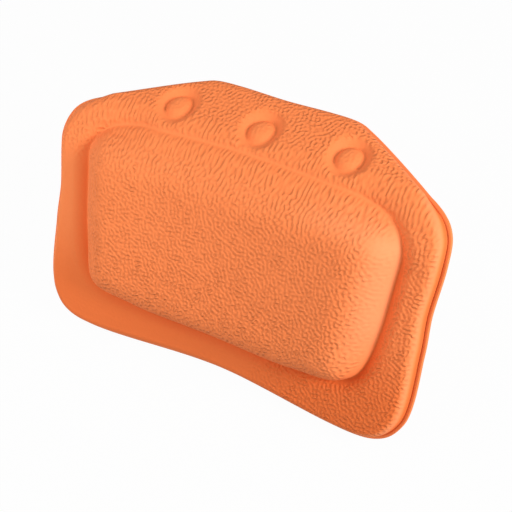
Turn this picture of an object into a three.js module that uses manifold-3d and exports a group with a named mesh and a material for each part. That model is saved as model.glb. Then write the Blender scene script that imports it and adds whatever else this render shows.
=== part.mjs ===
// Bath pillow: a formed sheet of foamed vinyl, welded round its edge to a plain back sheet, over foam.
// Three suction cups turn freely in sockets under the header flap and hold it to the rim of the bath.
// Millimetres, +Z up. X runs across the pillow and Y away from the bather. The flap lies level, its cups
// press on the plane z = 0, and the cushion slopes down in front of it, towards -Y.
// The sheet is drawn flat, as s across, t up from the middle of the cushion and h out from the back face,
// and bend() carries every point of it to its place.

import * as THREE from 'three';
import { mergeVertices } from 'three/addons/utils/BufferGeometryUtils.js';
import Module from 'manifold-3d';

const wasm = await Module();
wasm.setup();

// Size of the pillow, and its bands: borders round the cushion, and the flap above it with its row of cups
const pillowWidth = 320;
const sideBorder = 30;
const bottomBorder = 27;
const cushionTop = 65;
const cushionBottom = 84.5;
const cupRise = 15.8;
const flapMargin = 41.7;

// Outline of the sheet
const cupRow = cushionTop + cupRise;
const topReach = cupRow + flapMargin;
const bottomReach = cushionBottom + bottomBorder;
const outlineShares = [
  [0, 1], [0.36, 1], [0.45, 0.95], [0.82, 0.64], [0.985, 0.47], [0.992, -0.035],
  [1, -0.28], [0.98, -0.81], [0.853, -1], [0, -0.98],
];

// Foot line of the head cushion, in the groove round it
const cushionWidth = pillowWidth - 2 * sideBorder;
const cushionShares = [
  [0, 1], [0.535, 0.975], [0.808, 0.955], [1, 0.576], [0.9, -0.833], [0.554, -0.98], [0, -1],
];

// Cups, and the bend and curl of the sheet
const cupSpacing = 70.5;
const flapLead = 7;
const bendRadius = 16;
const bendAngle = THREE.MathUtils.degToRad(58);
const wingLift = 9.5;
const curlRun = 20;

// Sheets and foam
const backThickness = 1;
const skinThickness = 1.2;
const fit = 0.3;
const foamFit = 0.4;
const capFit = 0.5;
const lipWidth = 3;
const rollRun = 9.5;
const borderHeight = 13.2;
const grooveRun = 9;
const grooveDepth = 4.6;
const topGrooveDepth = 1.1;
const wallRun = 25;
const shoulderHeight = 32.4;
const crownHeight = 35.5;
const foamSeat = 6.5;

// Cross-section of the front, as shares of each band's run and rise
const rollShares = [[0.09, 0.42], [0.38, 0.8], [1, 1]];
const grooveShares = [[1, 1], [0.42, 0.5], [0, 0]];
const wallShares = [[0.09, 0.3], [0.4, 0.66], [1, 1]];
const domeShare = [0.3, 0.95];
const grooveFadeShares = [0.45, 0.95];

// Dimple and button over each socket
const craterRadius = 17;
const craterTongue = 0.8;
const craterSides = 10;
const buttonRadius = 10;
const buttonSink = 1.4;
const buttonTop = borderHeight - buttonSink;
const buttonBevel = 2.6;
const buttonBevelDrop = 0.6;
const buttonWall = 0.9;
const valleyDepth = 5.6;
const valleyHeight = borderHeight - valleyDepth;

// Socket that holds the cup's head
const flangeRadius = 12;
const flangeThickness = 1;
const socketLip = 2;
const socketCapWall = 1.8;

// Suction cup
const cupRadius = 20;
const rimWidth = 2;
const rimThickness = 0.8;
const cupStandOff = 11;
const neckRadius = 4;
const headRadius = 6;
const headBevel = 1.8;
const shoulderRadius = 6.8;
const cupWall = 3.4;
const cupOuterShares = [[0.9, 0.24], [0.72, 0.56], [0.52, 0.83]];
const cupInnerShares = [[0.74, 0.36], [0.42, 0.8]];

// Meshing
const spokeCount = 30;
const turnWeight = 26;
const curveSteps = 360;
const latheSides = 24;
const angleStep = 0.01;
const mitreLimit = 1.4;
const cutOverrun = 6;
const weldGap = 0.0001;

function smooth(share) {
  const held = THREE.MathUtils.clamp(share, 0, 1);
  return held * held * (3 - 2 * held);
}

// Carries a point of the flat sheet to its place: level flap, round bend, sloping cushion with curled wings
function bend(s, t, h) {
  const below = cupRow - flapLead - t;
  const arc = bendRadius * bendAngle;
  const angle = THREE.MathUtils.clamp(below / bendRadius, 0, bendAngle);
  const past = Math.max(below - arc, 0);
  const level = Math.min(below, 0);
  const curl = wingLift * smooth(below / (arc + curlRun));
  const reach = s / (pillowWidth / 2);
  const lift = curl * reach * reach;
  const tilt = curl * 2 * reach / (pillowWidth / 2);
  const normal = new THREE.Vector3(-tilt * Math.cos(bendAngle - angle), -Math.sin(angle), Math.cos(angle));
  const y = -flapLead - level - bendRadius * Math.sin(angle) - past * Math.cos(bendAngle);
  const z = cupStandOff - bendRadius * (1 - Math.cos(angle)) - past * Math.sin(bendAngle);
  const point = new THREE.Vector3(s, y - lift * Math.sin(bendAngle), z + lift * Math.cos(bendAngle));
  return point.addScaledVector(normal.normalize(), h);
}

// Closed smooth line through the points of its right half, mirrored to the left
function mirroredCurve(shares, width, top, bottom) {
  const right = shares.map(([across, along]) => {
    const reach = along > 0 ? top : bottom;
    return new THREE.Vector3(across * width / 2, along * reach, 0);
  });
  const left = right.slice(1, -1).reverse().map((point) => new THREE.Vector3(-point.x, point.y, 0));
  return new THREE.CatmullRomCurve3([...right, ...left], true, 'centripetal');
}

function turnFromTop(point) {
  const angle = Math.atan2(point.x, point.y);
  return angle < 0 ? angle + 2 * Math.PI : angle;
}

// Distance of a closed line from the middle of the cushion, as a function of the angle from the top
function radiusFunction(curve) {
  const points = curve.getPoints(curveSteps).slice(0, curveSteps);
  const turns = points.map(turnFromTop);
  const radii = points.map((point) => point.length());
  return (angle) => {
    const turn = THREE.MathUtils.euclideanModulo(angle, 2 * Math.PI);
    const next = turns.findIndex((value) => value > turn);
    const after = next < 0 ? 0 : next;
    const before = (after + curveSteps - 1) % curveSteps;
    const span = THREE.MathUtils.euclideanModulo(turns[after] - turns[before], 2 * Math.PI);
    const share = THREE.MathUtils.euclideanModulo(turn - turns[before], 2 * Math.PI) / span;
    return THREE.MathUtils.lerp(radii[before], radii[after], share);
  };
}

const outline = mirroredCurve(outlineShares, pillowWidth, topReach, bottomReach);
const cushionFoot = mirroredCurve(cushionShares, cushionWidth, cushionTop, cushionBottom);
const outlineRadius = radiusFunction(outline);
const footRadius = radiusFunction(cushionFoot);

// Cosine between a spoke and the line that it crosses squarely at 1
function lean(radius, angle) {
  const slope = (radius(angle + angleStep) - radius(angle - angleStep)) / (2 * angleStep);
  return radius(angle) / Math.hypot(radius(angle), slope);
}

// Angles of the spokes, closer together where the outline turns
function spokeAngles() {
  const points = outline.getPoints(curveSteps);
  const weights = [0];
  for (let index = 1; index < points.length; index += 1) {
    const step = points[index].clone().sub(points[index - 1]);
    const nextPoint = points[index % curveSteps + 1];
    const nextStep = nextPoint.clone().sub(points[index % curveSteps]);
    const cost = step.length() + turnWeight * step.angleTo(nextStep);
    weights.push(weights[index - 1] + cost);
  }
  const total = weights[curveSteps];
  return Array.from({ length: spokeCount }, (_, spoke) => {
    const index = weights.findIndex((weight) => weight >= total * spoke / spokeCount);
    return turnFromTop(points[index % curveSteps]);
  });
}

// Cross-section of the front surface along a spoke, from the edge of the lip to the crown
function frontProfile(angle) {
  const outer = outlineRadius(angle);
  const foot = outer - footRadius(angle);
  const edgeLean = lean(outlineRadius, angle);
  const footLean = lean(footRadius, angle);
  const lipTop = backThickness + fit + skinThickness;
  const topness = Math.cos(angle) * footRadius(angle) / cushionTop;
  const [fadeFrom, fadeTo] = grooveFadeShares;
  const depth = THREE.MathUtils.lerp(grooveDepth, topGrooveDepth, smooth((topness - fadeFrom) / (fadeTo - fadeFrom)));
  const grooveFloor = borderHeight - depth;
  const lip = [{ run: 0, height: lipTop, lean: edgeLean }, { run: lipWidth / edgeLean, height: lipTop, lean: edgeLean }];
  const roll = rollShares.map(([across, up]) => ({
    run: (lipWidth + rollRun * across) / edgeLean,
    height: THREE.MathUtils.lerp(lipTop, borderHeight, up),
    lean: edgeLean,
  }));
  const groove = grooveShares.map(([across, up]) => ({
    run: foot - grooveRun * across / footLean,
    height: THREE.MathUtils.lerp(grooveFloor, borderHeight, up),
    lean: footLean,
  }));
  const wall = wallShares.map(([across, up]) => ({
    run: foot + wallRun * across / footLean,
    height: THREE.MathUtils.lerp(grooveFloor, shoulderHeight, up),
    lean: footLean,
  }));
  const [domeRun, domeRise] = domeShare;
  const dome = [{
    run: THREE.MathUtils.lerp(wall.at(-1).run, outer, domeRun),
    height: THREE.MathUtils.lerp(shoulderHeight, crownHeight, domeRise),
    lean: 1,
  }];
  const crown = [{ run: outer, height: crownHeight, lean: 1 }];
  return { angle, outer, lip, roll, groove, wall, dome, crown };
}

// Inward normal of the step between two points of a profile
function inwardNormal(from, to, scale) {
  const across = (to.run - from.run) * scale;
  const up = to.height - from.height;
  const length = Math.hypot(across, up);
  return { across: up / length, up: -across / length };
}

// The same profile at a depth below its surface
function sink(points, depth) {
  return points.map((point, index) => {
    const last = index === points.length - 1;
    const before = inwardNormal(points[Math.max(index - 1, 0)], points[Math.max(index, 1)], point.lean);
    const after = last ? before : inwardNormal(point, points[index + 1], point.lean);
    const across = before.across + after.across;
    const up = before.up + after.up;
    const length = Math.hypot(across, up);
    const mitre = Math.min(2 / length, mitreLimit) * depth / length;
    const level = last && point.lean === 1;
    return {
      run: level ? point.run : point.run + across * mitre / point.lean,
      height: level ? point.height - depth : point.height + up * mitre,
      lean: point.lean,
    };
  });
}

function onSpoke(spoke, point) {
  const radius = spoke.outer - point.run;
  return bend(radius * Math.sin(spoke.angle), radius * Math.cos(spoke.angle), point.height);
}

// Closed body from rings that run from its front pole out over the edge and back to its rear pole. The
// diagonals are mirrored from left to right and from front to rear, so that facing sheets stay parallel.
function closedSurface(rings, frontPole, rearPole, frontCount = rings.length) {
  const sides = rings[0].length;
  const points = [frontPole, ...rings.flat(), rearPole];
  const at = (ring, side) => 1 + ring * sides + side % sides;
  const faces = [];
  for (let side = 0; side < sides; side += 1) {
    faces.push(0, at(0, side + 1), at(0, side));
    for (let ring = 0; ring < rings.length - 1; ring += 1) {
      const [a, b] = [at(ring, side), at(ring, side + 1)];
      const [c, d] = [at(ring + 1, side + 1), at(ring + 1, side)];
      const mirrored = (ring >= frontCount) !== (side >= sides / 2);
      faces.push(...(mirrored ? [a, b, d, b, c, d] : [a, b, c, a, c, d]));
    }
    faces.push(points.length - 1, at(rings.length - 1, side), at(rings.length - 1, side + 1));
  }
  const geometry = new THREE.BufferGeometry().setFromPoints(points);
  geometry.setIndex(faces);
  return geometry;
}

const spokes = spokeAngles().map(frontProfile);

// Body between two lists of stations on each spoke, given from the edge to the middle
function spokeBody(topOf, underOf) {
  const tops = spokes.map((spoke) => topOf(spoke).reverse());
  const unders = spokes.map(underOf);
  const lists = tops.map((top, index) => [...top, ...unders[index]]);
  const ringOf = (order) => spokes.map((spoke, index) => onSpoke(spoke, lists[index][order]));
  const count = lists[0].length;
  const rings = Array.from({ length: count - 2 }, (_, order) => ringOf(order + 1));
  const [frontPole, rearPole] = [lists[0][0], lists[0][count - 1]].map((point) => onSpoke(spokes[0], point));
  return closedSurface(rings, frontPole, rearPole, tops[0].length - 1);
}

function frontPoints(spoke) {
  return [...spoke.lip, ...spoke.roll, ...spoke.groove, ...spoke.wall, ...spoke.dome, ...spoke.crown];
}

// Profile of the foam under the skin, without the lip
function foamPoints(spoke) {
  const sunk = sink(frontPoints(spoke), skinThickness + foamFit);
  const padCount = spoke.roll.length + spoke.groove.length;
  const start = spoke.lip.length;
  return { pad: sunk.slice(start, start + padCount), cushion: sunk.slice(start + padCount) };
}

// Runs at which the flat faces bend, shared so that facing sheets stay parallel
function floorRuns(spoke) {
  const foot = foamPoints(spoke).pad[0].run;
  const inner = [spoke.roll.at(-1), spoke.groove[0], spoke.groove.at(-1), spoke.wall.at(-1)];
  return [foot, ...inner.map((point) => point.run), spoke.dome[0].run, spoke.outer];
}

function floorPoints(spoke, height) {
  return floorRuns(spoke).map((run) => ({ run, height }));
}

// Top of the pad inside the groove, where the cushion foam sits
function seatHeight(spoke, run) {
  const foot = foamPoints(spoke).pad.at(-1);
  const share = (run - foot.run) / (spoke.outer - foot.run);
  return THREE.MathUtils.lerp(foot.height, foamSeat, share);
}

function seatPoints(spoke, gap) {
  const runs = [spoke.wall.at(-1).run, spoke.dome[0].run, spoke.outer];
  return runs.map((run) => ({ run, height: seatHeight(spoke, run) + gap }));
}

function toSolid(geometry) {
  const bare = geometry.clone();
  bare.deleteAttribute('normal');
  bare.deleteAttribute('uv');
  const merged = mergeVertices(bare, weldGap);
  const vertProperties = merged.getAttribute('position').array;
  const triVerts = new Uint32Array(merged.getIndex().array);
  return new wasm.Manifold(new wasm.Mesh({ numProp: 3, vertProperties, triVerts }));
}

function toGeometry(solid) {
  const { vertProperties, triVerts, numProp } = solid.getMesh();
  const geometry = new THREE.BufferGeometry();
  const positions = new THREE.BufferAttribute(new Float32Array(vertProperties), numProp);
  geometry.setAttribute('position', positions);
  geometry.setIndex(Array.from(triVerts));
  return geometry;
}

// Height of the front surface over a point of the flat sheet
function surfaceHeight(s, t) {
  const spoke = frontProfile(turnFromTop(new THREE.Vector3(s, t, 0)));
  const run = spoke.outer - Math.hypot(s, t);
  const points = frontPoints(spoke);
  const next = points.findIndex((point) => point.run > run);
  const before = points[next - 1];
  const share = (run - before.run) / (points[next].run - before.run);
  return THREE.MathUtils.lerp(before.height, points[next].height, share);
}

// Cross-section of a dimple from the middle of its button outwards
function craterProfile() {
  const corners = [
    [0, buttonTop],
    [buttonRadius - buttonBevel, buttonTop - buttonBevelDrop],
    [buttonRadius, buttonTop - buttonBevel],
    [buttonRadius + buttonWall, valleyHeight],
    [craterRadius, borderHeight],
  ];
  return corners.map(([run, height]) => ({ run, height, lean: 1 }));
}

// Step along the back face under a step along the front, which is longer round the bend
function backStep(step) {
  const roundBend = Math.max(-step - flapLead, 0);
  return step + roundBend * borderHeight / (bendRadius + borderHeight);
}

// Ring of points of the sheet round the middle of a dimple
function craterRing(across, radius, heightAt) {
  return Array.from({ length: craterSides }, (_, side) => {
    const angle = 2 * Math.PI * side / craterSides;
    const s = across + radius * Math.sin(angle);
    const t = cupRow + backStep(radius * Math.cos(angle));
    return bend(s, t, heightAt(s, t));
  });
}

// Rings of the dimple's surface at a depth below it, from its middle to its edge
function craterRings(across, depth) {
  const points = sink(craterProfile(), depth).slice(1);
  return points.map(({ run, height }, index) => {
    const edge = index === points.length - 1;
    return craterRing(across, run, edge ? (s, t) => surfaceHeight(s, t) - depth : () => height);
  });
}

// Edge of the tongue that runs from the dimple into the thickness of the sheet
function tongueRing(across) {
  return craterRing(across, craterRadius + craterTongue, (s, t) => surfaceHeight(s, t) - skinThickness / 2);
}

function craterPole(across, height) {
  return bend(across, cupRow, height);
}

function craterBand(across) {
  const rings = [...craterRings(across, 0), tongueRing(across), ...craterRings(across, skinThickness).reverse()];
  return closedSurface(rings, craterPole(across, buttonTop), craterPole(across, buttonTop - skinThickness));
}

function craterColumn(across) {
  const [top, under] = [borderHeight + cutOverrun, borderHeight - cutOverrun];
  const rings = [top, under].map((height) => craterRing(across, craterRadius, () => height));
  return closedSurface(rings, craterPole(across, top), craterPole(across, under));
}

// Everything above the underside of a dimple, which the pad leaves free
function craterRoom(across) {
  const depth = skinThickness + foamFit;
  const rim = craterRing(across, craterRadius, () => borderHeight + cutOverrun);
  const rings = [rim, ...craterRings(across, depth).reverse()];
  return closedSurface(rings, craterPole(across, borderHeight + cutOverrun), craterPole(across, buttonTop - depth));
}

// Turned piece whose profile runs from the axis at its foot, out and up to the axis at its top
function turned(profile, across, height) {
  const points = profile.map(([radius, up]) => new THREE.Vector2(radius, up));
  const geometry = new THREE.LatheGeometry(points, latheSides);
  geometry.rotateX(Math.PI / 2);
  geometry.translate(across, 0, height);
  return geometry;
}

function roundCut(across, radius, from, to) {
  return turned([[0, from], [radius, from], [radius, to], [0, to]], across, cupStandOff);
}

// Cap of a socket, which fills the button from below: its middle, its bevel and its wall
const [capTop, capEdge, capWall] = sink(craterProfile(), skinThickness + capFit).map(({ run, height }) => (
  [run * Math.cos(Math.PI / craterSides), height]
));
const flangeFoot = backThickness + fit;
const socketRadius = capWall[0];
const boreRadius = neckRadius + fit;
const cavityRadius = headRadius + 2 * fit;
const cavityFloor = flangeFoot + socketLip;
const cavityTop = capTop[1] - socketCapWall;

const skinSeat = (spoke) => sink(frontPoints(spoke), skinThickness);

function frontSkin() {
  let skin = toSolid(spokeBody(frontPoints, skinSeat));
  for (const across of cupPlaces) {
    skin = skin.subtract(toSolid(craterColumn(across))).add(toSolid(craterBand(across)));
  }
  return toGeometry(skin);
}

function backSkin() {
  const sheet = (height) => (spoke) => [{ run: 0, height }, ...floorPoints(spoke, height)];
  let skin = toSolid(spokeBody(sheet(backThickness), sheet(0)));
  for (const across of cupPlaces) {
    skin = skin.subtract(toSolid(roundCut(across, boreRadius, -cutOverrun, cutOverrun)));
  }
  return toGeometry(skin);
}

function basePad() {
  const top = (spoke) => [...foamPoints(spoke).pad, ...seatPoints(spoke, 0)];
  const under = (spoke) => floorPoints(spoke, backThickness + foamFit);
  let pad = toSolid(spokeBody(top, under));
  const flangeTop = flangeFoot + flangeThickness + foamFit;
  for (const across of cupPlaces) {
    pad = pad.subtract(toSolid(craterRoom(across)));
    pad = pad.subtract(toSolid(roundCut(across, socketRadius + foamFit, -cutOverrun, borderHeight + cutOverrun)));
    pad = pad.subtract(toSolid(roundCut(across, flangeRadius + foamFit, -cutOverrun, flangeTop)));
  }
  return toGeometry(pad);
}

function cushionFoam() {
  const top = (spoke) => foamPoints(spoke).cushion;
  const under = (spoke) => {
    const run = foamPoints(spoke).cushion[0].run;
    return [{ run, height: seatHeight(spoke, run) + foamFit }, ...seatPoints(spoke, foamFit)];
  };
  return spokeBody(top, under);
}

function socket(across) {
  const profile = [
    [0, cavityTop], [cavityRadius, cavityTop], [cavityRadius, cavityFloor],
    [boreRadius, cavityFloor], [boreRadius, flangeFoot], [flangeRadius, flangeFoot],
    [flangeRadius, flangeFoot + flangeThickness], [socketRadius, flangeFoot + flangeThickness],
    capWall, capEdge, [0, capTop[1]],
  ];
  return turned(profile, across, cupStandOff);
}

function suctionCup(across) {
  const shoulder = cupStandOff - fit;
  const hollow = shoulder - cupWall;
  const headFoot = cupStandOff + cavityFloor + fit;
  const headTop = cupStandOff + cavityTop - fit;
  const hollowRadius = cupRadius - rimWidth;
  const inner = cupInnerShares.map(([out, up]) => [hollowRadius * out, hollow * up]).reverse();
  const outer = cupOuterShares.map(([out, up]) => [cupRadius * out, shoulder * up]);
  const profile = [
    [0, hollow], ...inner, [hollowRadius, 0], [cupRadius, 0], [cupRadius, rimThickness], ...outer,
    [shoulderRadius, shoulder], [neckRadius, shoulder], [neckRadius, headFoot], [headRadius, headFoot],
    [headRadius, headTop - headBevel], [headRadius - headBevel, headTop], [0, headTop],
  ];
  return turned(profile, across, 0);
}

function finish(color, roughness) {
  return new THREE.MeshStandardMaterial({ color, roughness, metalness: 0 });
}

function piece(name, geometry, material) {
  const mesh = new THREE.Mesh(geometry, material);
  mesh.name = name;
  return mesh;
}

const cupPlaces = [-cupSpacing, 0, cupSpacing];
const cupNames = ['left', 'centre', 'right'];

const pillow = new THREE.Group();
pillow.add(piece('front_skin', frontSkin(), finish('#f0803f', 0.55)));
pillow.add(piece('back_skin', backSkin(), finish('#e57435', 0.6)));
pillow.add(piece('base_pad', basePad(), finish('#efe3cf', 0.95)));
pillow.add(piece('cushion_foam', cushionFoam(), finish('#f3ead8', 0.95)));
cupPlaces.forEach((across, index) => {
  pillow.add(piece(`socket_${cupNames[index]}`, socket(across), finish('#f2f2ee', 0.45)));
  pillow.add(piece(`suction_cup_${cupNames[index]}`, suctionCup(across), finish('#dfe6e6', 0.12)));
});

export default pillow;
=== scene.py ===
"""Bath pillow in foamed vinyl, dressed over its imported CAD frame.

The pillow is drawn as a flat sheet, with s across it, t up from the middle of the cushion and h out from its
back face. SheetPlan carries every point of that sheet to its place: a level flap, a round bend and a sloping
cushion whose wings curl forward. All lengths are metres.
"""

from __future__ import annotations

import logging
import math
from dataclasses import dataclass, field, replace
from enum import Enum

import bpy
import numpy as np
from mathutils import Matrix, Vector

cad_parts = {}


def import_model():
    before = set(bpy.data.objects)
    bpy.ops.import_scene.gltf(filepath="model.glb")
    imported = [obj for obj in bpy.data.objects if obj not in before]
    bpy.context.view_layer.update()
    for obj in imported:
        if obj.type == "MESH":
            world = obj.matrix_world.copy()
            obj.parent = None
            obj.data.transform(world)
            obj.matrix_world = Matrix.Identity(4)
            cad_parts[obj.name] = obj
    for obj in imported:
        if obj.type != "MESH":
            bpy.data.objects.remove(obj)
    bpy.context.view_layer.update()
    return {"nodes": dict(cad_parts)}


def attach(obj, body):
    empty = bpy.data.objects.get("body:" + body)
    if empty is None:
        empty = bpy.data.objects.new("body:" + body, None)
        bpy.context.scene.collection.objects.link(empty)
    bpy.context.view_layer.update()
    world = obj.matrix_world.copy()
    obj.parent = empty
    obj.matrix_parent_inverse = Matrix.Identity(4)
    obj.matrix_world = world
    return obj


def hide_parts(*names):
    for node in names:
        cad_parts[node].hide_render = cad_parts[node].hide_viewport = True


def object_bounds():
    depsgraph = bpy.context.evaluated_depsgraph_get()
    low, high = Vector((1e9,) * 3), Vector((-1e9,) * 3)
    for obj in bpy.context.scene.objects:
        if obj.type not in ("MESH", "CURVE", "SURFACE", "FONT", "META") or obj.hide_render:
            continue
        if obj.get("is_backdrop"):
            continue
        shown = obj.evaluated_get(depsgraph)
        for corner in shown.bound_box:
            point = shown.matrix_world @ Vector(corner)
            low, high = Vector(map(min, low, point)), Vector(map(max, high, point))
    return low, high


LOG = logging.getLogger("bath_pillow")
MM = 0.001
TINY = 1e-9
Array = np.ndarray
Number = float | np.ndarray
Span = tuple[float, float]  # start and run of a soft step
Ends = tuple[float, float]  # lowest and highest value


class Slot(Enum):
    """Material slots of the record."""

    FRONT = "skin_front"
    BACK = "skin_back"
    PAD = "pad_foam"
    CUSHION = "cushion_foam"
    CUP = "cup_vinyl"


class Body(Enum):
    """Bodies that the pieces move with."""

    PILLOW = "pillow"
    CUP_LEFT = "cup_left"
    CUP_CENTRE = "cup_centre"
    CUP_RIGHT = "cup_right"


def mix(start: Number, end: Number, share: Number) -> Number:
    """Value at a share of the way from a start to an end."""
    return start + (end - start) * share


def smooth(share: Number) -> Number:
    """Soft step from 0 to 1: the cubic 3x squared less 2x cubed, held level outside that span."""
    held = np.clip(share, 0, 1)
    return held * held * (3 - 2 * held)


def ramp(value: Number, start: Number, run: Number) -> Number:
    """Soft step of a value, from 0 at a start to 1 a run further on, or further back if the run is negative."""
    return smooth((value - start) / run)


def between(first: Span, second: Span, share: Number) -> tuple[Number, Number]:
    """Start and run of a soft step that lies a share of the way from one to another."""
    return mix(first[0], second[0], share), mix(first[1], second[1], share)


def bell(value: Number, width: float) -> Number:
    """Bell curve: e to the power of less the square of the value over the width."""
    return np.exp(-((value / width) ** 2))


def quarter_round(share: Number, fullness: float = 2.0) -> Number:
    """Rise of a rounded edge from 0 to 1: steep at its foot and level at its top, as a quarter ellipse is.

    Args:
        share: place across the edge, 0 at its foot and 1 at its top.
        fullness: 2 for an ellipse, more for a squarer shoulder.

    Returns:
        Height at each place.
    """
    left = 1 - np.clip(share, 0, 1)
    return np.maximum(1 - left**fullness, 0) ** (1 / fullness)


def closed_curve(points: Array, steps: int) -> Array:
    """Closed smooth line through its corners, as a cubic between each two of them.

    The speed at a point is the weighted mean of the slopes on its two sides, with the square root of each
    chord as its weight.

    Args:
        points: corners in order, one row each.
        steps: points on each stretch.

    Returns:
        The points of the line, one row each.
    """
    before, start, end, after = (np.roll(points, shift, axis=0) for shift in (1, 0, -1, -2))
    first, middle, last = (
        np.sqrt(np.linalg.norm(b - a, axis=1, keepdims=True))
        for a, b in ((before, start), (start, end), (end, after))
    )
    leave = (start - before) / first - (end - before) / (first + middle) + (end - start) / middle
    arrive = (end - start) / middle - (after - start) / (middle + last) + (after - end) / last
    share = (np.arange(steps) / steps)[:, None, None]
    line = (
        (2 * share**3 - 3 * share**2 + 1) * start
        + (share**3 - 2 * share**2 + share) * leave * middle
        + (3 * share**2 - 2 * share**3) * end
        + (share**3 - share**2) * arrive * middle
    )
    return line.transpose(1, 0, 2).reshape(-1, 2)


@dataclass(frozen=True)
class Loop:
    """Closed line round the middle of the cushion, drawn from shares of its width and of its two reaches."""

    shares: tuple[tuple[float, float], ...]
    width: float
    top: float
    bottom: float
    steps: int = 24
    slope_step: float = math.radians(0.6)

    def line(self) -> Array:
        """Draws the whole line: its right half, and the same points mirrored.

        Returns:
            The points of the line, one row each.
        """
        across, along = np.array(self.shares).T
        reach = np.where(along > 0, self.top, self.bottom)
        right = np.stack([across * self.width / 2, along * reach], axis=1)
        left = right[-2:0:-1] * [-1, 1]
        return closed_curve(np.concatenate([right, left]), self.steps)

    def turns(self) -> tuple[Array, Array, Array]:
        """Measures the line at each of its points.

        Returns:
            Turn from the top, radius, and share of the length passed.
        """
        line = self.line()
        turn = np.mod(np.arctan2(line[:, 0], line[:, 1]), 2 * math.pi)
        step = np.linalg.norm(np.roll(line, -1, axis=0) - line, axis=1)
        passed = np.concatenate([[0], np.cumsum(step)[:-1]]) / step.sum()
        return turn, np.linalg.norm(line, axis=1), passed

    def radius(self, angle: Array) -> Array:
        """Distance of the line from the middle at an angle from the top."""
        turn, radii, _ = self.turns()
        return np.interp(angle, turn, radii, period=2 * math.pi)

    def lean(self, angle: Array) -> Array:
        """Cosine between a spoke and the line's own normal: the radius over the length of radius and slope."""
        slope = self.radius(angle + self.slope_step) - self.radius(angle - self.slope_step)
        return self.radius(angle) / np.hypot(self.radius(angle), slope / (2 * self.slope_step))

    def angle_at(self, passed: Array) -> Array:
        """Angle from the top at which a share of the line's length has been passed."""
        turn, _, shares = self.turns()
        return np.interp(passed, np.append(shares, 1), np.append(turn, 2 * math.pi))

    def gaps(self, points: Array, corners: tuple[int, ...] = (0,), block: int = 4000) -> Array:
        """Shortest distance of points from each side of the line: the least over its straight steps.

        Single precision is enough here, and keeps the memory small.

        Args:
            points: places on the flat sheet, one row each.
            corners: numbers of the line's points at which its sides start, in order.
            block: rows worked out at a time, which bounds the memory.

        Returns:
            One row for each point, one column for each side.
        """
        start = np.roll(self.line().astype(np.float32), -corners[0], axis=0)
        step = np.roll(start, -1, axis=0) - start
        square = (step**2).sum(axis=1)
        sides = np.array(corners) - corners[0]
        parts = []
        for rows in np.array_split(points.astype(np.float32), max(len(points) // block, 1)):
            offset = rows[:, None, :] - start
            share = np.clip((offset * step).sum(axis=2) / square, 0, 1)
            gap = ((offset - share[..., None] * step) ** 2).sum(axis=2)
            parts.append(np.sqrt(np.minimum.reduceat(gap, sides, axis=1)))
        return np.concatenate(parts).astype(float)


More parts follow.
